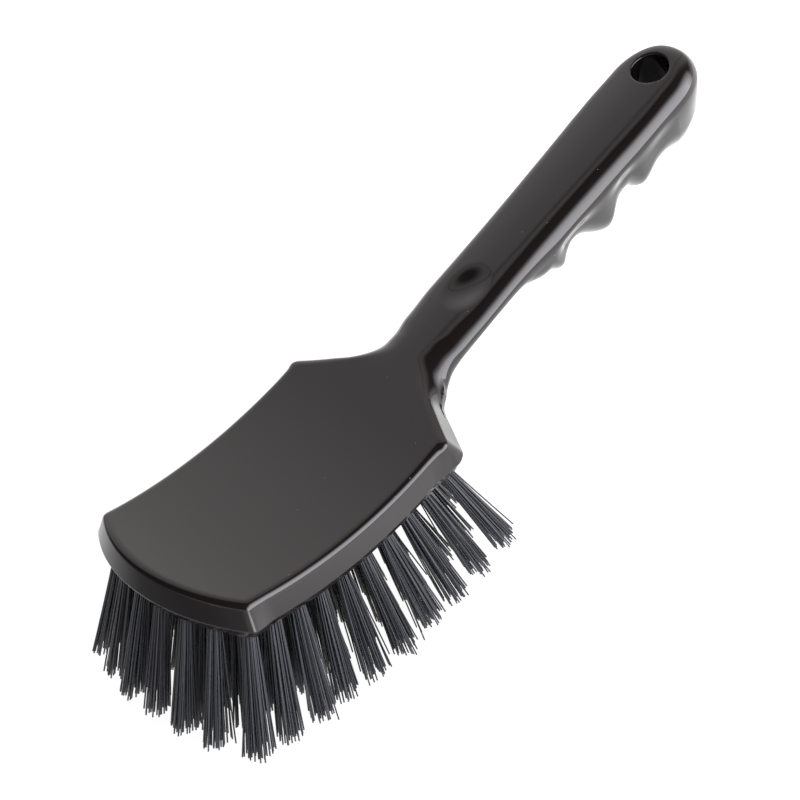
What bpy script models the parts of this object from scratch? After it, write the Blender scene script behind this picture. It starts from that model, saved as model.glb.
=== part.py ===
"""Short-handled wheel brush: a curved brush block with an integral finger-grooved
handle, planted with tufts of stiff filaments.

Lengths below are in millimetres and are turned into metres when a mesh is made.
The design frame has X along the brush from the front edge to the handle end, Y
across it, and Z up. Its origin is on the chord that joins the front and back
corners of the block's top face. The whole brush is moved at the end so that the
file's origin is the centre of the bottom of its bounding box.
"""
import math

import bmesh
import bpy
from mathutils import Vector

MM = 0.001

# Brush block
BLOCK_LENGTH = 89.3            # front corners to back corners
BLOCK_SAG = 6.1                # dip of the concave top face below its chord
BLOCK_THICKNESS = 13.6
FRONT_HALF_WIDTH = 33.8
BACK_HALF_WIDTH = 35.1
SIDE_BULGE = 0.7               # outward bow of each long side
FRONT_BULGE = 11.2             # forward bow of the front edge
TOP_EDGE_ROUNDING = 1.5
SKIRT_DROP = 9.5               # from the top face down to the crease of the wall
SKIRT_FLARE_SIDE = 2.1         # how far the wall leans out on its way to the crease
SKIRT_FLARE_FRONT = 3.7
SKIRT_FLARE_CORNER = 3.5
SKIRT_FLARE_BACK_CORNER = 4.2
SKIRT_FLARE_SHOULDER = 5.8
BAND_INSET = 0.8               # the band under the crease sits this much further in
SHOULDER_POINTS = ((92.1, 31.3), (96.0, 25.1), (100.1, 19.2), (104.6, 13.7), (107.0, 10.5), (109.0, 5.0))

# Handle: distance along it from the back corners, depth, half width and squareness
HANDLE_END = 185.0
HANDLE_END_ROUNDING = 22.0
HANDLE_STATIONS = (
    (8.0, 12.0, 19.0, 4.0),
    (14.0, 12.4, 17.0, 4.0),
    (20.0, 12.4, 15.3, 4.0),
    (27.0, 11.4, 14.2, 3.8),
    (36.0, 10.2, 13.7, 3.6),
    (48.0, 10.0, 13.6, 3.5),
    (66.0, 10.8, 14.2, 3.4),
    (80.0, 16.6, 14.9, 3.2),
    (88.0, 22.2, 15.3, 3.0),
    (97.0, 18.8, 15.8, 3.0),
    (113.0, 28.6, 16.6, 2.8),
    (125.5, 21.6, 17.0, 2.8),
    (134.5, 27.6, 17.1, 2.7),
    (146.0, 25.2, 17.0, 2.7),
    (160.5, 30.0, 16.5, 2.7),
)
HANDLE_STEP = 3.2              # spacing of the sections that shape the handle
SECTION_POINTS = 20
THUMB_REST_CENTRE = 52.0       # along the handle
THUMB_REST_LENGTH = 20.0
THUMB_REST_WIDTH = 14.0
THUMB_REST_DEPTH = 1.5

# Hanging hole
HOLE_POSITION = 165.2          # along the handle
HOLE_RADIUS = 6.9
HOLE_SIDES = 32

# Tufts
TUFT_PITCH = 9.81              # spacing along a row
ROW_HALF_WIDTH = 31.0          # outermost rows, at the front corners
ROW_SPREAD = 1.8               # extra half width of the outermost rows at the back
FRONT_INNER_X = -6.7           # front tufts of the inner rows
FRONT_CENTRE_X = -7.6          # front tuft on the centre line
LEAN_ALONG = 1.22              # lean along the block, per unit slope of the block
LEAN_ACROSS = 0.006            # lean across the block, per millimetre off the centre
LARGEST_SLOPE = 0.28
MOUTH_DROP = 13.3              # where a tuft's length is measured from
TUFT_LENGTH = 45.7
TUFT_MOUTH_RADIUS = 1.65
TUFT_TIP_RADIUS = 2.9
TUFT_DEPTH = 7.6               # planted length inside the block
TUFT_SIDES = 8
TUFT_HOLE_RADIUS = 2.05
TUFT_HOLE_DEPTH = 8.0
TUFT_HOLE_SIDES = 10

ARC_RADIUS = (BLOCK_SAG ** 2 + (BLOCK_LENGTH / 2) ** 2) / (2 * BLOCK_SAG)
ARC_CENTRE_X = BLOCK_LENGTH / 2
ARC_CENTRE_Z = ARC_RADIUS - BLOCK_SAG
HANDLE_ANGLE = math.asin(BLOCK_LENGTH / 2 / ARC_RADIUS)
FRONT_RADIUS = (FRONT_BULGE ** 2 + FRONT_HALF_WIDTH ** 2) / (2 * FRONT_BULGE)
# Position of the file's origin in the design frame
ORIGIN = Vector((123.23, 0.0, -64.99))


def top_height(x):
    """Height of the block's top surface, which runs on straight into the handle."""
    if x > BLOCK_LENGTH:
        return (x - BLOCK_LENGTH) * math.tan(HANDLE_ANGLE)
    return ARC_CENTRE_Z - math.sqrt(ARC_RADIUS ** 2 - (x - ARC_CENTRE_X) ** 2)


def top_slope(x):
    """Slope of the block's top surface."""
    x = min(x, BLOCK_LENGTH)
    return (x - ARC_CENTRE_X) / math.sqrt(ARC_RADIUS ** 2 - (x - ARC_CENTRE_X) ** 2)


def material(name, colour, roughness, metallic=0.0):
    """A plain Principled material."""
    made = bpy.data.materials.new(name)
    made.use_nodes = True
    shader = made.node_tree.nodes["Principled BSDF"]
    shader.inputs["Base Color"].default_value = (*colour, 1.0)
    shader.inputs["Roughness"].default_value = roughness
    shader.inputs["Metallic"].default_value = metallic
    return made


def add_object(name, points, faces, surface):
    """Make one closed, outward-facing mesh object from design-frame points."""
    mesh = bpy.data.meshes.new(name)
    mesh.from_pydata([(Vector(point) - ORIGIN) * MM for point in points], [], faces)
    shape = bmesh.new()
    shape.from_mesh(mesh)
    bmesh.ops.recalc_face_normals(shape, faces=shape.faces)
    shape.to_mesh(mesh)
    shape.free()
    mesh.materials.append(surface)
    made = bpy.data.objects.new(name, mesh)
    bpy.context.collection.objects.link(made)
    return made


def stack_rings(rings):
    """Points and side faces of equal-length rings joined one to the next."""
    count = len(rings[0])
    points = [point for ring in rings for point in ring]
    faces = []
    for level in range(len(rings) - 1):
        low = level * count
        for i in range(count):
            j = (i + 1) % count
            faces.append((low + i, low + j, low + count + j, low + count + i))
    return points, faces


def offset_outline(outline, distances):
    """Move each corner of a closed outline outward by its own distance."""
    moved = []
    count = len(outline)
    for i, (x, y) in enumerate(outline):
        before = outline[i - 1]
        after = outline[(i + 1) % count]
        along = Vector((after[0] - before[0], after[1] - before[1])).normalized()
        moved.append((x + along.y * distances[i], y - along.x * distances[i]))
    return moved


def block_outline():
    """Top outline of the block, counter-clockwise, and the wall's flare at each corner."""
    half = []
    for i in range(9):
        angle = math.asin(FRONT_HALF_WIDTH / FRONT_RADIUS) * i / 8
        x = FRONT_RADIUS * (1 - math.cos(angle)) - FRONT_BULGE
        flare = SKIRT_FLARE_FRONT + (SKIRT_FLARE_CORNER - SKIRT_FLARE_FRONT) * (i / 8) ** 4
        half.append((x, FRONT_RADIUS * math.sin(angle), flare))
    for i in range(1, 11):
        along = i / 10
        y = FRONT_HALF_WIDTH + (BACK_HALF_WIDTH - FRONT_HALF_WIDTH) * along
        y += SIDE_BULGE * 4 * along * (1 - along)
        half.append((BLOCK_LENGTH * along, y, SKIRT_FLARE_SIDE))
    half[-1] = (*half[-1][:2], SKIRT_FLARE_BACK_CORNER)
    for x, y in SHOULDER_POINTS:
        half.append((x, y, SKIRT_FLARE_SHOULDER * min(1.0, y / 13.0)))
    near_side = [(x, -y, flare) for x, y, flare in half]
    far_side = [(x, y, flare) for x, y, flare in reversed(half[1:])]
    ring = near_side + far_side
    return [(x, y) for x, y, _ in ring], [flare for _, _, flare in ring], len(half)


def make_block(surface):
    """The solid block without its holes: a stack of outlines, capped across."""
    outline, flares, half_count = block_outline()
    # drop below the top face, share of the flare, extra inset
    levels = (
        (0.0, 0.0, TOP_EDGE_ROUNDING),
        (0.3 * TOP_EDGE_ROUNDING, 0.0, 0.3 * TOP_EDGE_ROUNDING),
        (TOP_EDGE_ROUNDING, 0.0, 0.0),
        (SKIRT_DROP, 1.0, 0.0),
        (SKIRT_DROP + BAND_INSET, 1.0, BAND_INSET),
        (BLOCK_THICKNESS - 0.6, 1.0, BAND_INSET),
        (BLOCK_THICKNESS, 1.0, BAND_INSET + 0.6),
    )
    rings = []
    for drop, share, inset in levels:
        moved = offset_outline(outline, [share * flare - inset for flare in flares])
        rings.append([(x, y, top_height(x) - drop - sink(x)) for x, y in moved])
    points, faces = stack_rings(rings)
    count = len(outline)
    for base in (0, (len(rings) - 1) * count):
        # the two corners that face each other across the centre line, rung by rung
        faces.append((base, base + 1, base + count - 1))
        for i in range(1, half_count - 1):
            j = count - i
            faces.append((base + i, base + i + 1, base + j - 1, base + j))
    return add_object("handle_block", points, faces, surface)


def sink(x):
    """How far the block's top dives under the handle's top at the joint."""
    return 0.09 * max(0.0, x - 103.5) ** 2


def handle_profile(s):
    """Depth, half width and squareness of the handle at a distance along it."""
    stations = HANDLE_STATIONS
    if s >= stations[-1][0]:
        _, depth, width, square = stations[-1]
        past = s - stations[-1][0]
        return depth - 0.06 * past, width - 0.03 * past, square
    for low, high in zip(stations, stations[1:]):
        if s <= high[0]:
            share = (s - low[0]) / (high[0] - low[0])
            ease = (1 - math.cos(math.pi * share)) / 2
            return (low[1] + (high[1] - low[1]) * ease,
                    low[2] + (high[2] - low[2]) * share,
                    low[3] + (high[3] - low[3]) * share)


def handle_point(s, y, depth):
    """Design-frame point from distance along the handle, side offset and depth."""
    cosine = math.cos(HANDLE_ANGLE)
    sine = math.sin(HANDLE_ANGLE)
    return (BLOCK_LENGTH + s * cosine + depth * sine, y, s * sine - depth * cosine)


def handle_section(s, scale):
    """One rounded section of the handle; scale shrinks it about its middle."""
    depth, width, square = handle_profile(s)
    lowered = 0.05 * max(0.0, 20.0 - s) ** 1.5
    ring = []
    for i in range(SECTION_POINTS):
        angle = 2 * math.pi * (i + 0.5) / SECTION_POINTS
        across = math.cos(angle)
        down = math.sin(angle)
        stretch = (abs(across) ** square + abs(down) ** square) ** (-1 / square)
        y = width * scale * across * stretch
        below = depth / 2 * (1 - scale * down * stretch)
        near = (2 * (s - THUMB_REST_CENTRE) / THUMB_REST_LENGTH) ** 2 + (2 * y / THUMB_REST_WIDTH) ** 2
        if down > 0 and near < 1:
            below += THUMB_REST_DEPTH * (1 - near) ** 2
        ring.append(handle_point(s, y, below + lowered))
    return ring


def make_handle(surface):
    """The handle: rounded sections from inside the block to the rounded end."""
    start = HANDLE_STATIONS[0][0]
    end_start = HANDLE_END - HANDLE_END_ROUNDING
    steps = round((end_start - start) / HANDLE_STEP)
    rings = [handle_section(start + (end_start - start) * i / steps, 1.0) for i in range(steps + 1)]
    for angle in (15, 30, 43, 55, 66, 75, 83):
        along = math.sin(math.radians(angle))
        scale = (1 - along ** 1.85) ** (1 / 1.85)
        rings.append(handle_section(end_start + HANDLE_END_ROUNDING * along, scale))
    points, faces = stack_rings(rings)
    count = SECTION_POINTS
    faces.append(tuple(range(count)))
    faces.append(tuple(range(len(points) - count, len(points))))
    return add_object("handle_solid", points, faces, surface)


def tuft_positions():
    """Name, root x and root y of every tuft, row by row from the outside in."""
    outer = [ARC_CENTRE_X + (i - 4.5) * TUFT_PITCH for i in range(10)]
    second = [ARC_CENTRE_X + (i - 5) * TUFT_PITCH for i in range(10)]
    inner = [FRONT_INNER_X, *outer[:8]]
    placed = [("tuft_front_centre", FRONT_CENTRE_X, 0.0)]
    for row, share, places in (("outer", 1.0, outer), ("second", 2 / 3, second), ("inner", 1 / 3, inner)):
        for number, x in enumerate(places, start=1):
            y = share * (ROW_HALF_WIDTH + ROW_SPREAD * max(0.0, x / BLOCK_LENGTH))
            placed.append((f"tuft_{row}_left_{number:02d}", x, y))
            placed.append((f"tuft_{row}_right_{number:02d}", x, -y))
    return placed


def tuft_axis(x, y):
    """Root point of a tuft in the block's underside and its direction."""
    slope = max(-LARGEST_SLOPE, min(LARGEST_SLOPE, top_slope(x)))
    direction = Vector((LEAN_ALONG * slope, LEAN_ACROSS * y, -1.0)).normalized()
    return Vector((x, y, top_height(x) - MOUTH_DROP)), direction


def round_bar(name, centre_line, sides, surface, end_normal=None):
    """A bar through (point, radius) pairs; its last end may be cut to a given plane."""
    axis = (centre_line[-1][0] - centre_line[0][0]).normalized()
    side = axis.cross(Vector((0, 1, 0))).normalized()
    across = axis.cross(side)
    rings = []
    for centre, radius in centre_line:
        ring = []
        for i in range(sides):
            angle = 2 * math.pi * i / sides
            ring.append(centre + side * radius * math.cos(angle) + across * radius * math.sin(angle))
        rings.append(ring)
    if end_normal is not None:
        tip = centre_line[-1][0]
        rings[-1] = [p + axis * ((tip - p).dot(end_normal) / axis.dot(end_normal)) for p in rings[-1]]
    points, faces = stack_rings(rings)
    faces.append(tuple(range(sides)))
    faces.append(tuple(range(len(points) - sides, len(points))))
    return add_object(name, points, faces, surface)


def make_tuft(name, x, y, surface):
    """One tuft: a slim planted root that spreads to its trimmed, flat end."""
    root, direction = tuft_axis(x, y)
    tip = root + direction * TUFT_LENGTH
    # the ends are trimmed to one arc that runs parallel to the block
    trim = Vector((tip.x - ARC_CENTRE_X, 0.0, tip.z - ARC_CENTRE_Z)).normalized()
    centre_line = (
        (root - direction * TUFT_DEPTH, TUFT_MOUTH_RADIUS),
        (root + direction * 1.0, TUFT_MOUTH_RADIUS),
        (tip, TUFT_TIP_RADIUS),
    )
    return round_bar(name, centre_line, TUFT_SIDES, surface, trim)


def apply_boolean(target, operation, cutters):
    """Join or cut a target with other objects, then remove those objects."""
    group = bpy.data.collections.new("tools")
    bpy.context.scene.collection.children.link(group)
    for cutter in cutters:
        for owner in list(cutter.users_collection):
            owner.objects.unlink(cutter)
        group.objects.link(cutter)
    step = target.modifiers.new(operation.lower(), "BOOLEAN")
    step.operation = operation
    step.operand_type = "COLLECTION"
    step.collection = group
    step.solver = "EXACT"
    bpy.context.view_layer.update()
    evaluated = target.evaluated_get(bpy.context.evaluated_depsgraph_get())
    shaped = bpy.data.meshes.new_from_object(evaluated)
    target.modifiers.clear()
    old = target.data
    target.data = shaped
    bpy.data.meshes.remove(old)
    for cutter in cutters:
        bpy.data.objects.remove(cutter)
    bpy.data.collections.remove(group)


def build():
    """Build every piece of the brush."""
    for thing in list(bpy.data.objects):
        bpy.data.objects.remove(thing)

    plastic = material("gloss_black_plastic", (0.012, 0.012, 0.013), 0.16)
    bristle = material("bristle_black", (0.02, 0.021, 0.023), 0.45)

    moulding = make_block(plastic)
    apply_boolean(moulding, "UNION", [make_handle(plastic)])

    tufts = tuft_positions()
    cutters = []
    for name, x, y in tufts:
        root, direction = tuft_axis(x, y)
        deep = root - direction * TUFT_HOLE_DEPTH
        ends = ((deep, TUFT_HOLE_RADIUS), (root + direction * 6.0, TUFT_HOLE_RADIUS))
        cutters.append(round_bar("hole_" + name, ends, TUFT_HOLE_SIDES, plastic))
    down = Vector(handle_point(0, 0, 1)) - Vector(handle_point(0, 0, 0))
    centre = Vector(handle_point(HOLE_POSITION, 0, 0))
    hole = ((centre - down * 8.0, HOLE_RADIUS), (centre + down * 40.0, HOLE_RADIUS))
    cutters.append(round_bar("hanging_hole", hole, HOLE_SIDES, plastic))
    apply_boolean(moulding, "DIFFERENCE", cutters)

    for name, x, y in tufts:
        make_tuft(name, x, y, bristle)

    for thing in bpy.data.objects:
        for face in thing.data.polygons:
            face.use_smooth = True
        thing.data.set_sharp_from_angle(angle=math.radians(35))


build()
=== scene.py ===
import math

import bpy
import numpy as np
from mathutils import Matrix, Vector


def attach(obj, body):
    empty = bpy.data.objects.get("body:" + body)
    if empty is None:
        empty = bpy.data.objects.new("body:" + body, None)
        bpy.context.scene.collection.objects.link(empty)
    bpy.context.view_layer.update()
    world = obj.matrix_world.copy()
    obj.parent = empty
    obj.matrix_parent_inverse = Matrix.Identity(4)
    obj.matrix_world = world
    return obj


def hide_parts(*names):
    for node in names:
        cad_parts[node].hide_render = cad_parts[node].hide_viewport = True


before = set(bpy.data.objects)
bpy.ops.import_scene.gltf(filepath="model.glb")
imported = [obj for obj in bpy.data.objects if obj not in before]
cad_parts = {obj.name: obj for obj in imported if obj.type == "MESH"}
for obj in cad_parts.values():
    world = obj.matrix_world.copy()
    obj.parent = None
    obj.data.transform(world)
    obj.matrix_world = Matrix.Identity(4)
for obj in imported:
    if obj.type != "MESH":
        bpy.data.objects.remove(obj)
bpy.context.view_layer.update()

# ---------------------------------------------------------------------------
# Dimensions, in millimetres, in the brush's design frame: X from the front edge
# to the handle end, Z up, origin on the chord of the block's concave top face.
# A point's "drop" is how far it lies below the top face.
# ---------------------------------------------------------------------------
MM = 0.001
ORIGIN = np.array([123.23, 0.0, -64.99])      # the file's origin in the design frame

BLOCK_LENGTH = 89.3
BLOCK_SAG = 6.1
BLOCK_THICKNESS = 14.4        # 0.8 more than the solid part's, for a deeper band
FRONT_HALF_WIDTH = 33.8
BACK_HALF_WIDTH = 35.1
SIDE_BULGE = 0.7
FRONT_BULGE = 11.2
CREASE_DROP = 9.5
HOLE_POSITION = 165.2
HOLE_RADIUS = 6.9

ARC_CENTRE_X = BLOCK_LENGTH / 2
ARC_RADIUS = (BLOCK_SAG ** 2 + ARC_CENTRE_X ** 2) / (2 * BLOCK_SAG)
ARC_CENTRE_Z = ARC_RADIUS - BLOCK_SAG
HANDLE_ANGLE = math.asin(ARC_CENTRE_X / ARC_RADIUS)
COS, SIN, TAN = math.cos(HANDLE_ANGLE), math.sin(HANDLE_ANGLE), math.tan(HANDLE_ANGLE)
FRONT_RADIUS = (FRONT_BULGE ** 2 + FRONT_HALF_WIDTH ** 2) / (2 * FRONT_BULGE)


def top_height(x):
    """Height of the top face at x; it runs on straight along the handle."""
    arc = ARC_CENTRE_Z - np.sqrt(np.maximum(ARC_RADIUS ** 2 - (x - ARC_CENTRE_X) ** 2, 1.0))
    return np.where(x > BLOCK_LENGTH, (x - BLOCK_LENGTH) * TAN, arc)


def top_slope(x):
    """Slope of the top face at x."""
    along = np.minimum(x, BLOCK_LENGTH) - ARC_CENTRE_X
    return along / np.sqrt(ARC_RADIUS ** 2 - along ** 2)


def ease(value, low, high):
    """0 below low, 1 above high and smooth between."""
    share = np.clip((value - low) / (high - low), 0.0, 1.0)
    return share * share * (3 - 2 * share)


def to_world(points):
    """Points in the design frame, in the file's frame and in metres."""
    return (np.asarray(points) - ORIGIN) * MM


# ---------------------------------------------------------------------------
# The moulding, as one implicit surface: negative inside, about a distance in mm
# ---------------------------------------------------------------------------
# Along the handle: distance, depth, half width, top rounding, bottom rounding
HANDLE_PROFILE = (
    (20.0, 12.2, 15.6, 12.0, 3.6),
    (28.0, 10.9, 15.7, 11.0, 3.6),
    (36.0, 10.2, 15.6, 8.6, 3.8),
    (50.0, 10.0, 15.3, 6.8, 3.8),
    (66.0, 10.8, 15.1, 6.8, 4.2),
    (80.0, 16.4, 15.1, 6.8, 5.2),
    (88.0, 22.0, 15.2, 6.8, 5.6),
    (97.0, 18.8, 15.4, 6.8, 6.4),
    (113.0, 28.4, 15.8, 6.8, 8.6),
    (125.5, 21.6, 16.1, 6.6, 7.6),
    (134.5, 27.6, 16.4, 6.4, 9.0),
    (146.0, 25.2, 16.5, 6.2, 9.0),
    (160.5, 30.0, 16.5, 6.6, 10.0),
    (190.0, 28.8, 16.0, 10.5, 12.0),
)
HEAD_EDGE_ROUNDING = 2.3
END_START, END_LENGTH, END_HALF_WIDTH = 161.0, 21.0, 16.5
# How far the wall leans out from the top edge to the crease
SIDE_FLARE, SHOULDER_FLARE, FRONT_FLARE, BACK_CORNER_FLARE = 2.1, 5.6, 3.7, 4.2
CREASE_ROUNDING, CREASE_LIP = 0.45, 0.5
THUMB_REST_AT, THUMB_REST_SIDE, THUMB_REST_DEPTH = 54.5, -1.0, 2.0
THUMB_REST_HALF_LENGTH, THUMB_REST_HALF_WIDTH = 11.5, 8.5
TOP_CROWN = 105.0         # larger is flatter
# How far the handle's sides draw in low down: in the finger valleys, at the end, at the neck
VALLEY_HOLLOW, END_TUCK, NECK_DRAFT = 2.6, 2.4, 1.5
# The band under the crease: inset at the crease, inset gained per mm of drop, and its top
BAND_INSET, BAND_SLANT, BAND_TOP = 0.8, 0.3, 8.8
COLLAR_RADIUS, COLLAR_FILLET = 2.9, 0.3
BAND_EDGE_ROUNDING, HOLE_EDGE_ROUNDING = 0.5, 0.9
# Plan points from the back corner round the shoulder to the neck
SHOULDER = ((92.1, 31.3), (96.0, 25.1), (100.1, 19.2),
            (102.4, 17.4), (105.0, 16.3), (108.5, 15.8))


def smooth_profile():
    """The handle's profile sampled every quarter millimetre, eased and softened."""
    at = np.arange(0.0, 200.0, 0.25)
    rows = np.array(HANDLE_PROFILE)
    index = np.clip(np.searchsorted(rows[:, 0], at) - 1, 0, len(rows) - 2)
    share = np.clip((at - rows[index, 0]) / (rows[index + 1, 0] - rows[index, 0]), 0, 1)[:, None]
    share = (1 - np.cos(np.pi * share)) / 2
    values = rows[index, 1:] * (1 - share) + rows[index + 1, 1:] * share
    kernel = np.exp(-np.linspace(-2.5, 2.5, 21) ** 2 / 2)
    kernel /= kernel.sum()
    padded = np.pad(values, ((10, 10), (0, 0)), mode="edge")
    return at, np.stack([np.convolve(padded[:, k], kernel, "valid") for k in range(4)], axis=1)


PROFILE_AT, PROFILE = smooth_profile()


def cut_corners(points, times):
    """An open outline with its corners cut, closing on a smooth curve between the same ends."""
    points = np.array(points, float)
    for _ in range(times):
        near = points[:-1] * 0.75 + points[1:] * 0.25
        far = points[:-1] * 0.25 + points[1:] * 0.75
        points = np.concatenate([points[:1], np.stack([near, far], 1).reshape(-1, 2), points[-1:]])
    return points


FRONT_POINTS = 33
SIDE_POINTS = 12


def plan_outline():
    """Half outline of the whole moulding's top edge, from the front centre to the end."""
    half = []
    for i in range(FRONT_POINTS):
        angle = math.asin(FRONT_HALF_WIDTH / FRONT_RADIUS) * i / (FRONT_POINTS - 1)
        x = FRONT_RADIUS * (1 - math.cos(angle)) - FRONT_BULGE
        half.append((x, FRONT_RADIUS * math.sin(angle)))
    for i in range(1, SIDE_POINTS + 1):
        along = i / SIDE_POINTS
        y = FRONT_HALF_WIDTH + (BACK_HALF_WIDTH - FRONT_HALF_WIDTH) * along
        y += SIDE_BULGE * 4 * along * (1 - along)
        half.append((BLOCK_LENGTH * along + 0.8 * ease(along, 0.9, 1.0), y))
    rest = [half[-1], *SHOULDER]
    for s in np.arange(26.0, 158.1, 6.0):
        rest.append((BLOCK_LENGTH + s * COS, float(np.interp(s, PROFILE_AT, PROFILE[:, 1]))))
    for turn in range(0, 91, 9):
        angle = math.radians(turn)
        s = END_START + END_LENGTH * math.sin(angle)
        rest.append((BLOCK_LENGTH + s * COS, END_HALF_WIDTH * math.cos(angle) ** 0.9))
    return half + [tuple(point) for point in cut_corners(rest, 2)[1:]]


def mitred(half, flares):
    """A half outline moved outward by a distance at each point, mirrored into a closed ring."""
    points = np.array([(x, -y) for x, y in half] + [(x, y) for x, y in half[-2:0:-1]])
    moves = np.concatenate([flares, flares[-2:0:-1]])
    before = points - np.roll(points, 1, 0)
    after = np.roll(points, -1, 0) - points
    before /= np.maximum(np.linalg.norm(before, axis=1, keepdims=True), 1e-9)
    after /= np.maximum(np.linalg.norm(after, axis=1, keepdims=True), 1e-9)
    normal_a = np.stack([before[:, 1], -before[:, 0]], 1)
    normal_b = np.stack([after[:, 1], -after[:, 0]], 1)
    both = normal_a + normal_b
    both /= np.linalg.norm(both, axis=1, keepdims=True)
    reach = 1 / np.maximum((both * normal_a).sum(1), 0.6)
    return points + both * (moves * reach)[:, None]


def ring_distance(ring, x, y):
    """Signed distance from points to a closed polygon, negative inside."""
    shape = np.broadcast(x, y).shape
    px, py = np.broadcast_to(x, shape).ravel(), np.broadcast_to(y, shape).ravel()
    best = np.full(px.shape, 1e9)
    inside = np.zeros(px.shape, bool)
    for (ax, ay), (bx, by) in zip(ring, np.roll(ring, -1, 0)):
        ex, ey = bx - ax, by - ay
        if ex * ex + ey * ey < 1e-12:
            continue
        along = np.clip(((px - ax) * ex + (py - ay) * ey) / (ex * ex + ey * ey), 0, 1)
        best = np.minimum(best, (px - ax - along * ex) ** 2 + (py - ay - along * ey) ** 2)
        inside ^= ((ay > py) != (by > py)) & (px < ex * (py - ay) / (ey or 1.0) + ax)
    return (np.where(inside, -1, 1) * np.sqrt(best)).reshape(shape)


CORNER_ROUNDING = 1.7
HALF = plan_outline()
HALF_X = np.array([x for x, _ in HALF])
FLARE = np.where(HALF_X < 89, SIDE_FLARE, SHOULDER_FLARE * (1 - ease(HALF_X, 91.0, 118.0)))
FLARE[:FRONT_POINTS] = FRONT_FLARE
FLARE[FRONT_POINTS + SIDE_POINTS - 1] = BACK_CORNER_FLARE
TOP_RING = mitred(HALF, np.full(len(HALF), -CORNER_ROUNDING))
CREASE_RING = mitred(HALF, FLARE - CORNER_ROUNDING)
# the band closes across the root of the handle
BAND_HALF = [point for point in HALF if point[0] < 109]
BAND_RING = mitred(BAND_HALF + [(111.5, 9.0), (112.5, 0.0)],
                   np.append(FLARE[:len(BAND_HALF)], [1.0, 1.0]) - CORNER_ROUNDING)


class PlanDistance:
    """A ring's signed distance in plan, tabulated, softened and read back with smooth slopes."""

    def __init__(self, ring):
        self.x0, self.y0, self.step = -24.0, -44.0, 0.5
        xs = np.arange(self.x0, 284.0, self.step)
        ys = np.arange(self.y0, 44.1, self.step)
        table = ring_distance(ring, xs[:, None], ys[None, :])
        kernel = np.exp(-np.arange(-4, 5) ** 2 / (2 * 1.3 ** 2))
        kernel /= kernel.sum()
        padded = np.pad(table, 4, mode="edge")
        rows = sum(weight * padded[k:k + table.shape[0]] for k, weight in enumerate(kernel))
        self.table = sum(weight * rows[:, k:k + table.shape[1]] for k, weight in enumerate(kernel))

    def __call__(self, x, y):
        u = np.clip((x - self.x0) / self.step, 1, self.table.shape[0] - 2.001)
        v = np.clip((y - self.y0) / self.step, 1, self.table.shape[1] - 2.001)
        i, j = u.astype(int), v.astype(int)
        across = self.weights(u - i)
        along = self.weights(v - j)
        flat = self.table.ravel()
        start = (i - 1) * self.table.shape[1] + j - 1
        total = np.zeros(u.shape)
        for a in range(4):
            for b in range(4):
                total += across[a] * along[b] * flat[start + (a * self.table.shape[1] + b)]
        return total

    @staticmethod
    def weights(t):
        """Cubic B-spline weights."""
        return ((1 - t) ** 3 / 6, (3 * t ** 3 - 6 * t ** 2 + 4) / 6,
                (-3 * t ** 3 + 3 * t ** 2 + 3 * t + 1) / 6, t ** 3 / 6)


def meet(a, b, radius):
    """Intersection of two fields with a rounded edge."""
    a, b = a + radius, b + radius
    outside = np.hypot(np.maximum(a, 0), np.maximum(b, 0))
    return np.minimum(np.maximum(a, b), 0) + outside - radius


def join(a, b, radius):
    """Union of two fields with a filleted joint."""
    return -meet(-a, -b, radius)


TUFT_PITCH = 9.81
ROW_HALF_WIDTH = 31.0
ROW_SPREAD = 1.8
MOUTH_DROP = 13.3
TUFT_LENGTH = 45.7
FRONT_INNER_X, FRONT_CENTRE_X = -6.7, -7.6


def tuft_positions():
    """Name, root x, root y and whether the tuft is in the ring seen from outside."""
    outer = [ARC_CENTRE_X + (i - 4.5) * TUFT_PITCH for i in range(10)]
    second = [ARC_CENTRE_X + (i - 5) * TUFT_PITCH for i in range(10)]
    inner = [FRONT_INNER_X, *outer[:8]]
    placed = [("tuft_front_centre", FRONT_CENTRE_X, 0.0, True)]
    rows = (("outer", 1.0, outer), ("second", 2 / 3, second), ("inner", 1 / 3, inner))
    for row, share, places in rows:
        for number, x in enumerate(places, start=1):
            y = share * (ROW_HALF_WIDTH + ROW_SPREAD * max(0.0, x / BLOCK_LENGTH))
            edge = row == "outer" or number == 1
            placed.append((f"tuft_{row}_left_{number:02d}", x, y, edge))
            placed.append((f"tuft_{row}_right_{number:02d}", x, -y, edge))
    return placed


def tuft_axis(x, y):
    """A tuft's root in the underside, and its direction."""
    slope = float(np.clip(top_slope(x), -0.28, 0.28))
    direction = np.array([1.22 * slope, 0.006 * y, -1.0])
    root = np.array([x, y, float(top_height(x)) - MOUTH_DROP])
    return root, direction / np.linalg.norm(direction)


TUFTS = tuft_positions()
EDGE_TUFTS = [tuft_axis(x, y) for _, x, y, edge in TUFTS if edge]


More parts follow.
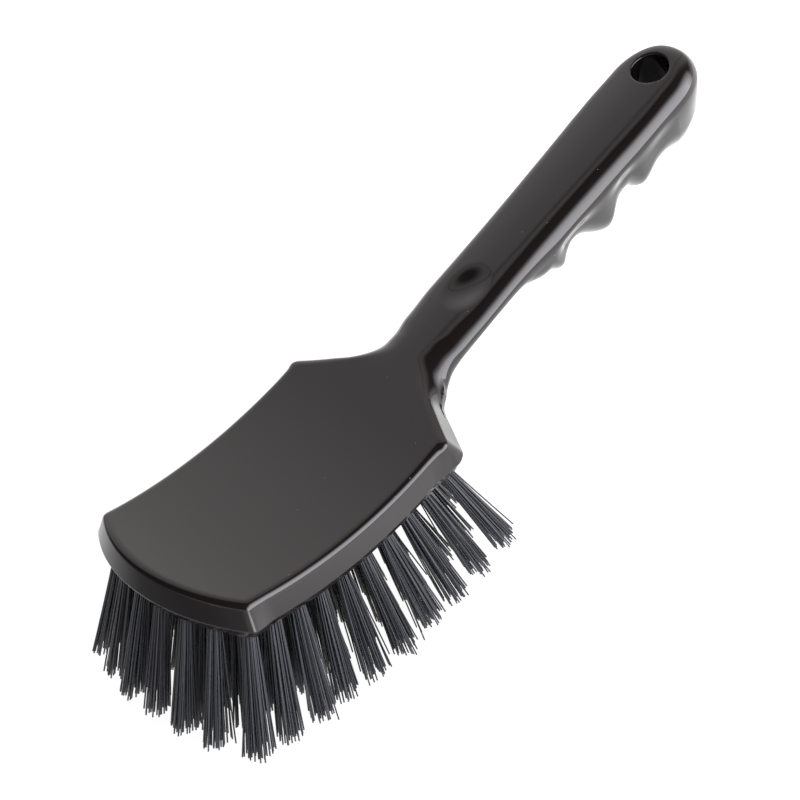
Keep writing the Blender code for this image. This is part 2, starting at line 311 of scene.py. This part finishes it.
def moulding(x, y, drop, top_plan, crease_plan, band_plan):
    """The moulding's field at points given by x, y and drop below the top face."""
    on_handle = ease(x, BLOCK_LENGTH + 4, BLOCK_LENGTH + 34)
    lean = on_handle * drop * SIN * COS
    plan_x = x - lean
    s = (plan_x - BLOCK_LENGTH) / COS
    depth = drop * (1 - on_handle * (1 - COS))
    deep, round_top, round_low = (np.interp(s, PROFILE_AT, PROFILE[:, k]) for k in (0, 2, 3))
    steep = np.interp(s, PROFILE_AT, np.gradient(PROFILE[:, 0], PROFILE_AT))
    neck = ease(plan_x, 101.0, 118.0)

    # slightly crowned handle top, with the thumb rest
    along = (s - THUMB_REST_AT) / THUMB_REST_HALF_LENGTH
    across = (y - THUMB_REST_SIDE) / THUMB_REST_HALF_WIDTH
    dimple = THUMB_REST_DEPTH * np.clip(1 - (along ** 2 + across ** 2), 0, 1) ** 2
    top = dimple + neck * y ** 2 / TOP_CROWN - depth

    # the wall leans out from the top edge to the crease
    share = np.clip(depth / CREASE_DROP, -0.3, 1.3)
    wall = (top_plan(plan_x, y) * (1 - share) + crease_plan(plan_x, y) * share) - CORNER_ROUNDING
    # finger valleys hollow the sides of the grip below its rim
    valley = ease(s, 84.0, 92.0) * np.clip((29.0 - deep) / 10.0, 0, 1)
    wall = wall + VALLEY_HOLLOW * valley * ease(depth, 6.5, 13.0)
    wall = wall + END_TUCK * ease(s, 146.0, 172.0) * ease(depth, 8.0, 26.0)
    # the neck and the front of the handle draw in towards their underside
    draft = NECK_DRAFT * ease(plan_x, 106.0, 122.0) * (1 - ease(s, 60.0, 90.0))
    wall = wall + draft * ease(depth, 4.0, 9.5)
    edge = HEAD_EDGE_ROUNDING + (round_top - HEAD_EDGE_ROUNDING) * ease(plan_x, 97.5, 113.0)
    body = meet(wall, top, edge)
    lip = depth - (CREASE_DROP + CREASE_LIP)
    under = (depth - deep) / np.sqrt(1 + steep ** 2)
    body = meet(body, lip * (1 - neck) + under * neck,
                CREASE_ROUNDING + (round_low - CREASE_ROUNDING) * neck)

    # band under the crease, with a collar round each tuft of the outer ring
    band = band_plan(x, y) - CORNER_ROUNDING + BAND_INSET
    band = band + BAND_SLANT * np.clip(drop - CREASE_DROP, 0, 5)
    fillet = 0.35 + 3.0 * ease(x, 99.0, 108.0)
    band = meet(band, drop - BLOCK_THICKNESS, BAND_EDGE_ROUNDING)
    band = np.maximum(band, BAND_TOP - drop)
    zone = (drop > 6.5) & (drop < 16.0) & (x < 98)
    if zone.any():
        zx, zy, zd, inner = x[zone], y[zone], drop[zone], band[zone]
        zz = top_height(zx) - zd
        for root, direction in EDGE_TUFTS:
            local = (np.abs(zx - root[0]) < 7.5) & (np.abs(zy - root[1]) < 6.5)
            if not local.any():
                continue
            offset = np.stack([zx[local], zy[local], zz[local]], 1) - root
            axial = (offset @ direction)[:, None] * direction
            radial = np.linalg.norm(offset - axial, axis=1)
            below = zd[local] - BLOCK_THICKNESS
            collar = meet(radial - COLLAR_RADIUS, below, BAND_EDGE_ROUNDING)
            collar = np.maximum(collar, BAND_TOP - zd[local])
            inner[local] = join(inner[local], collar, COLLAR_FILLET)
        band[zone] = inner
    solid = join(body, band, fillet)

    # hanging hole
    bore = HOLE_RADIUS - np.hypot(s - HOLE_POSITION, y)
    return meet(solid, bore, HOLE_EDGE_ROUNDING)


def surface_net(xs, ys, drops, field):
    """Closed quad mesh where a field crosses zero on a grid, then moved onto the exact surface."""
    grid = np.meshgrid(xs, ys, drops, indexing="ij")
    values = field(*(axis.ravel() for axis in grid)).reshape(grid[0].shape)
    sign = values < 0
    shape = np.array(values.shape)
    total = np.zeros((*(shape - 1), 3))
    hits = np.zeros(shape - 1)
    lines = (xs, ys, drops)
    crossings = []
    for axis in range(3):
        low = [slice(None)] * 3
        high = [slice(None)] * 3
        low[axis], high[axis] = slice(0, -1), slice(1, None)
        low, high = tuple(low), tuple(high)
        crossed = sign[low] != sign[high]
        i, j, k = np.nonzero(crossed)
        a, b = values[low][crossed], values[high][crossed]
        share = a / (a - b)
        where = np.stack([lines[0][i], lines[1][j], lines[2][k]], 1).astype(float)
        index = (i, j, k)[axis]
        where[:, axis] += share * (lines[axis][index + 1] - lines[axis][index])
        crossings.append((i, j, k, sign[low][crossed]))
        others = [o for o in range(3) if o != axis]
        for da in (0, 1):
            for db in (0, 1):
                cell = [i, j, k]
                cell[others[0]] = cell[others[0]] - da
                cell[others[1]] = cell[others[1]] - db
                np.add.at(total, tuple(cell), where)
                np.add.at(hits, tuple(cell), 1)
    used = hits > 0
    number = np.full(hits.shape, -1)
    number[used] = np.arange(used.sum())
    points = total[used] / hits[used][:, None]
    faces = []
    for axis, (i, j, k, inward) in enumerate(crossings):
        a, b = [o for o in range(3) if o != axis]
        corners = []
        for da, db in ((0, 0), (1, 0), (1, 1), (0, 1)):
            cell = [i, j, k]
            cell[a] = cell[a] - da
            cell[b] = cell[b] - db
            corners.append(number[tuple(cell)])
        quad = np.stack(corners, 1)
        flip = inward if axis != 1 else ~inward
        quad[flip] = quad[flip][:, ::-1]
        faces.append(quad)
    faces = np.concatenate(faces)
    for _ in range(3):
        value, slope = gradient(field, points)
        step = value[:, None] * slope / np.maximum((slope ** 2).sum(1), 0.05)[:, None]
        length = np.linalg.norm(step, axis=1, keepdims=True)
        points = points - step * np.minimum(1, 0.4 / np.maximum(length, 1e-9))
    return points, faces, gradient(field, points)[1]


def gradient(field, points, reach=0.04):
    """A field's value and slope at points, by central differences."""
    value = field(*points.T)
    slope = np.empty_like(points)
    for axis in range(3):
        shift = np.zeros(3)
        shift[axis] = reach
        slope[:, axis] = (field(*(points + shift).T) - field(*(points - shift).T)) / (2 * reach)
    return value, slope


def make_moulding():
    """The block and handle as one mesh, with its normals taken from the field."""
    xs = np.arange(-18.0, 280.0, 0.75)
    ys = np.arange(-40.5, 40.6, 0.75)
    drops = np.concatenate([np.arange(-1.6, 2.4, 0.4), np.arange(2.6, 9.0, 0.8),
                            np.arange(9.0, 14.2, 0.3), np.arange(14.4, 34.0, 0.7)])
    plans = [PlanDistance(ring) for ring in (TOP_RING, CREASE_RING, BAND_RING)]
    points, faces, slope = surface_net(
        xs, ys, drops, lambda x, y, drop: moulding(x, y, drop, *plans))
    x, y, drop = points.T
    placed = np.stack([x, y, top_height(x) - drop], 1)
    lean = slope[:, 2] * top_slope(x)
    normals = np.stack([slope[:, 0] + lean, slope[:, 1], -slope[:, 2]], 1)
    normals /= np.linalg.norm(normals, axis=1, keepdims=True)
    mesh = bpy.data.meshes.new("brush_moulding")
    mesh.from_pydata(to_world(placed).tolist(), [], faces.tolist())
    mesh.validate()
    mesh.shade_smooth()
    mesh.normals_split_custom_set_from_vertices(normals.tolist())
    made = bpy.data.objects.new("brush_moulding", mesh)
    bpy.context.collection.objects.link(made)
    return made


# ---------------------------------------------------------------------------
# Tufts of filaments
# ---------------------------------------------------------------------------
FILAMENT_RADIUS = 0.28
FILAMENTS = 58
SIDES = 6
RINGS = 6
ROOT_HALF_LENGTH, ROOT_HALF_WIDTH = 2.5, 2.0
ROOT_DEPTH = 0.5          # where filaments start, below the tuft's root and inside the block
TRIM_LENGTH = TUFT_LENGTH - 0.6
GOLDEN_ANGLE = 2.399963
STRAY_SHARE, STRAY_SPREAD = 0.05, 1.5
# The filaments have bent a little towards the right, and those at the back towards the handle
SIDEWAYS_SET, BACKWARD_SET = 0.03, 0.06
LEFT_ROW_INSET = 1.5      # the left rows start a little further in


def tuft_mesh(name, x, y, seed):
    """One tuft: filaments that leave the block in a tight bundle and spread."""
    rng = np.random.default_rng(seed)
    root, direction = tuft_axis(x, y)
    root = root - (0.0, LEFT_ROW_INSET * max(0.0, y) / ROW_HALF_WIDTH, 0.0)
    side = np.cross(direction, (0, 1, 0))
    side /= np.linalg.norm(side)
    across = np.cross(direction, side)
    tilt = rng.normal(0, 0.012, 2)
    direction = direction + side * tilt[0] + across * tilt[1]
    direction /= np.linalg.norm(direction)
    direction = direction + (BACKWARD_SET * x / BLOCK_LENGTH, -SIDEWAYS_SET, 0.0)
    direction /= np.linalg.norm(direction)
    tip = root + direction * TRIM_LENGTH
    # the ends are trimmed along one arc, parallel to the block
    trim = np.array([tip[0] - ARC_CENTRE_X, 0.0, tip[2] - ARC_CENTRE_Z])
    trim /= np.linalg.norm(trim)
    points, faces = [], []
    spread = rng.uniform(4.3, 4.9)
    squash = rng.uniform(1.05, 1.3)
    ragged = rng.uniform(0.8, 1.6)
    for i in range(FILAMENTS):
        angle = i * GOLDEN_ANGLE + rng.normal(0, 0.25)
        reach = math.sqrt((i + 0.5) / FILAMENTS)
        u, v = reach * math.cos(angle), reach * math.sin(angle)
        start = root + direction * ROOT_DEPTH
        start = start + side * u * ROOT_HALF_LENGTH + across * v * ROOT_HALF_WIDTH
        end_u = (u * spread + rng.normal(0, 0.28)) * squash
        end_v = (v * spread + rng.normal(0, 0.28)) / squash
        if rng.random() < STRAY_SHARE:
            end_u, end_v = end_u * STRAY_SPREAD, end_v * STRAY_SPREAD
        end = tip + side * end_u + across * end_v
        end = end - direction * ((end - tip) @ trim) / (direction @ trim)
        end = end - direction * abs(rng.normal(0, ragged))
        bow = side * rng.normal(0, 0.15) + across * rng.normal(0, 0.15)
        base = len(points)
        for ring in range(RINGS):
            t = ring / (RINGS - 1)
            centre = start * (1 - t) + end * t + bow * (4 * t * (1 - t))
            for k in range(SIDES):
                turn = 2 * math.pi * k / SIDES
                around = side * math.cos(turn) + across * math.sin(turn)
                points.append(centre + FILAMENT_RADIUS * around)
        for ring in range(RINGS - 1):
            for k in range(SIDES):
                a = base + ring * SIDES + k
                b = base + ring * SIDES + (k + 1) % SIDES
                faces.append((a, b, b + SIDES, a + SIDES))
        faces.append(tuple(range(base + SIDES - 1, base - 1, -1)))
        last = base + (RINGS - 1) * SIDES
        faces.append(tuple(range(last, last + SIDES)))
    mesh = bpy.data.meshes.new(name)
    mesh.from_pydata(to_world(points).tolist(), [], faces)
    mesh.shade_smooth()
    mesh.set_sharp_from_angle(angle=math.radians(70))
    made = bpy.data.objects.new(name, mesh)
    bpy.context.collection.objects.link(made)
    return made


# ---------------------------------------------------------------------------
# Materials
# ---------------------------------------------------------------------------
PLASTIC_BLACK = (0.0058, 0.0040, 0.0040, 1)
DUST_COLOUR = (0.16, 0.13, 0.12, 1)
DARK_FILAMENT = (0.006, 0.0065, 0.009, 1)
PALE_FILAMENT = (0.044, 0.047, 0.059, 1)


def new_material(name):
    """A material with its nodes, links and shader."""
    made = bpy.data.materials.new(name)
    made.use_nodes = True
    nodes = made.node_tree.nodes
    return made, nodes, made.node_tree.links, nodes["Principled BSDF"]


def plastic_material():
    """Gloss black moulded plastic: faint orange peel, uneven gloss, a little dust."""
    made, nodes, links, shader = new_material("gloss_black_plastic")
    shader.inputs["Base Color"].default_value = PLASTIC_BLACK
    shader.inputs["IOR"].default_value = 1.5
    place = nodes.new("ShaderNodeTexCoord")

    peel = nodes.new("ShaderNodeTexNoise")
    peel.inputs["Scale"].default_value = 90
    peel.inputs["Detail"].default_value = 2
    links.new(place.outputs["Object"], peel.inputs["Vector"])

    haze = nodes.new("ShaderNodeTexNoise")
    haze.inputs["Scale"].default_value = 35
    haze.inputs["Detail"].default_value = 6
    links.new(place.outputs["Object"], haze.inputs["Vector"])
    rough = nodes.new("ShaderNodeMapRange")
    rough.inputs["From Min"].default_value = 0.35
    rough.inputs["From Max"].default_value = 0.7
    rough.inputs["To Min"].default_value = 0.05
    rough.inputs["To Max"].default_value = 0.10
    links.new(haze.outputs["Fac"], rough.inputs["Value"])
    links.new(rough.outputs["Result"], shader.inputs["Roughness"])

    specks = nodes.new("ShaderNodeTexVoronoi")
    specks.inputs["Scale"].default_value = 260
    specks.inputs["Randomness"].default_value = 1
    links.new(place.outputs["Object"], specks.inputs["Vector"])
    near = nodes.new("ShaderNodeMapRange")
    near.inputs["From Min"].default_value = 0.03
    near.inputs["From Max"].default_value = 0.07
    near.inputs["To Min"].default_value = 1
    near.inputs["To Max"].default_value = 0
    links.new(specks.outputs["Distance"], near.inputs["Value"])
    rare = nodes.new("ShaderNodeMath")
    rare.operation = "GREATER_THAN"
    rare.inputs[1].default_value = 0.86
    split = nodes.new("ShaderNodeSeparateColor")
    links.new(specks.outputs["Color"], split.inputs["Color"])
    links.new(split.outputs["Red"], rare.inputs[0])
    dust = nodes.new("ShaderNodeMath")
    dust.operation = "MULTIPLY"
    links.new(near.outputs["Result"], dust.inputs[0])
    links.new(rare.outputs["Value"], dust.inputs[1])
    blend = nodes.new("ShaderNodeMix")
    blend.data_type = "RGBA"
    blend.inputs["A"].default_value = PLASTIC_BLACK
    blend.inputs["B"].default_value = DUST_COLOUR
    links.new(dust.outputs["Value"], blend.inputs["Factor"])
    links.new(blend.outputs["Result"], shader.inputs["Base Color"])

    bump = nodes.new("ShaderNodeBump")
    bump.inputs["Strength"].default_value = 0.05
    bump.inputs["Distance"].default_value = 0.0004
    links.new(peel.outputs["Fac"], bump.inputs["Height"])
    links.new(bump.outputs["Normal"], shader.inputs["Normal"])
    return made


def bristle_material():
    """Black extruded filament: satin, each one slightly different."""
    made, nodes, links, shader = new_material("black_bristle")
    shader.inputs["IOR"].default_value = 1.5
    geometry = nodes.new("ShaderNodeNewGeometry")
    tint = nodes.new("ShaderNodeMix")
    tint.data_type = "RGBA"
    tint.inputs["A"].default_value = DARK_FILAMENT
    tint.inputs["B"].default_value = PALE_FILAMENT
    links.new(geometry.outputs["Random Per Island"], tint.inputs["Factor"])
    links.new(tint.outputs["Result"], shader.inputs["Base Color"])
    place = nodes.new("ShaderNodeTexCoord")
    grain = nodes.new("ShaderNodeTexNoise")
    grain.inputs["Scale"].default_value = 70
    grain.inputs["Detail"].default_value = 3
    links.new(place.outputs["Object"], grain.inputs["Vector"])
    rough = nodes.new("ShaderNodeMapRange")
    rough.inputs["To Min"].default_value = 0.20
    rough.inputs["To Max"].default_value = 0.34
    links.new(grain.outputs["Fac"], rough.inputs["Value"])
    links.new(rough.outputs["Result"], shader.inputs["Roughness"])
    return made


# ---------------------------------------------------------------------------
# Build
# ---------------------------------------------------------------------------
plastic = plastic_material()
bristle = bristle_material()

block = make_moulding()
block.data.materials.append(plastic)
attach(block, "root")
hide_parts("handle_block")

# the middle row and the two behind it have no node of their own in the frame
extra = [(f"tuft_middle_{i + 1:02d}", ARC_CENTRE_X + (i - 4) * TUFT_PITCH, 0.0, False)
         for i in range(9)]
extra += [("tuft_middle_back_left", 88.8, 10.7, False),
          ("tuft_middle_back_right", 88.8, -10.7, False)]
for seed, (name, x, y, _) in enumerate(TUFTS + extra):
    tuft = tuft_mesh("filaments_" + name, x, y, seed)
    tuft.data.materials.append(bristle)
    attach(tuft, "root")
    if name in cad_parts:
        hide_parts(name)

# ---------------------------------------------------------------------------
# Stage: glowing pale floor, soft surroundings, camera
# ---------------------------------------------------------------------------
scene = bpy.context.scene
scene.view_settings.view_transform = "Standard"


def levels(nodes, links, place, direction, stops, tint=(1.0, 1.0, 1.0)):
    """Brightness that changes along a direction: the ramp runs from -1 to 1 of the dot product."""
    along = nodes.new("ShaderNodeVectorMath")
    along.operation = "DOT_PRODUCT"
    along.inputs[1].default_value = Vector(direction).normalized()
    links.new(place, along.inputs[0])
    shift = nodes.new("ShaderNodeMapRange")
    shift.inputs["From Min"].default_value = -1
    links.new(along.outputs["Value"], shift.inputs["Value"])
    node = nodes.new("ShaderNodeValToRGB")
    links.new(shift.outputs["Result"], node.inputs["Fac"])
    ramp = node.color_ramp
    ramp.elements.remove(ramp.elements[1])
    for number, (at, level) in enumerate(stops):
        stop = ramp.elements[0] if number == 0 else ramp.elements.new((at + 1) / 2)
        stop.position = (at + 1) / 2
        stop.color = (level * tint[0], level * tint[1], level * tint[2], 1)
    return node.outputs["Color"]


def combine(nodes, links, blend, a, b):
    """Two colours mixed all the way with a blend type."""
    made = nodes.new("ShaderNodeMix")
    made.data_type = "RGBA"
    made.blend_type = blend
    made.clamp_result = False
    made.inputs["Factor"].default_value = 1
    links.new(a, made.inputs["A"])
    links.new(b, made.inputs["B"])
    return made.outputs["Result"]


# a glowing floor, dim far to the left and brightest to the right of the brush: painted light, a
# pool of light such as the soft light on the right would cast on the floor
floor_mesh = bpy.data.meshes.new("floor")
floor_mesh.from_pydata([(-3, -3, 0), (3, -3, 0), (3, 3, 0), (-3, 3, 0)], [], [(0, 1, 2, 3)])
floor = bpy.data.objects.new("floor", floor_mesh)
bpy.context.collection.objects.link(floor)
floor_material, nodes, links, floor_shader = new_material("pale_floor")
floor_shader.inputs["Base Color"].default_value = (0.15, 0.15, 0.15, 1)
floor_shader.inputs["Roughness"].default_value = 0.9
floor_shader.inputs["Emission Strength"].default_value = 5
place = nodes.new("ShaderNodeTexCoord").outputs["Object"]
# painted pool of light: the floor's glow stands in for the soft light on the right falling on it
painted_floor_light = levels(nodes, links, place, (0.8, -0.6, 0), (
    (-0.9, 0.02), (-0.4, 0.05), (-0.2, 0.19), (0.0, 0.19), (0.08, 0.42), (0.16, 0.42), (0.3, 0.36)))
links.new(painted_floor_light, floor_shader.inputs["Emission Color"])
floor_mesh.materials.append(floor_material)

# surroundings: a big pale panel behind and above, a bright soft light low on the right,
# dark elsewhere overhead, and a pale horizon that is dimmer at the back left
world = bpy.data.worlds.new("studio")
scene.world = world
world.use_nodes = True
nodes, links = world.node_tree.nodes, world.node_tree.links
place = nodes.new("ShaderNodeTexCoord").outputs["Generated"]
panel = levels(nodes, links, place, (0.55, 0.65, 0.52), (
    (0.0, 0.015), (0.54, 0.015), (0.68, 0.108), (0.765, 0.12), (0.775, 0.06), (0.782, 0.06),
    (0.792, 0.126), (0.86, 0.129), (0.98, 0.158)), (1.0, 0.945, 0.955))
horizon = levels(nodes, links, place, (0, 0, 1), ((0.0, 0.13), (0.10, 0.13), (0.28, 0.0)))
left_side = levels(nodes, links, place, (-0.35, 0.94, 0), ((0.3, 1.0), (0.65, 0.3), (1.0, 0.12)))
horizon = combine(nodes, links, "MULTIPLY", horizon, left_side)
right_side = levels(nodes, links, place, (0.33, -0.94, 0), ((0.6, 0.0), (0.85, 1.0)))
right_height = levels(nodes, links, place, (0, 0, 1), (
    (0.0, 1.0), (0.3, 1.0), (0.5, 0.78), (0.65, 0.34), (0.76, 0.07), (0.83, 0.0)),
    (0.965, 0.955, 1.0))
right_light = combine(nodes, links, "MULTIPLY", right_side, right_height)
sky = combine(nodes, links, "LIGHTEN", panel, horizon)
sky = combine(nodes, links, "LIGHTEN", sky, right_light)
links.new(sky, nodes["Background"].inputs["Color"])
nodes["Background"].inputs["Strength"].default_value = 8

camera = bpy.data.cameras.new("camera")
camera.lens = 90.0
camera.sensor_width = 36.0
camera.clip_start = 0.01
viewer = bpy.data.objects.new("camera", camera)
bpy.context.collection.objects.link(viewer)
right = Vector((0.67198, -0.73130, -0.11682))
up = Vector((0.55169, 0.38911, 0.73772))
back = right.cross(up).normalized()
position = to_world((-236.19, -386.28, 447.29))
turned = Matrix((right, up, back)).transposed().to_4x4()
viewer.matrix_world = Matrix.Translation(position) @ turned
scene.camera = viewer
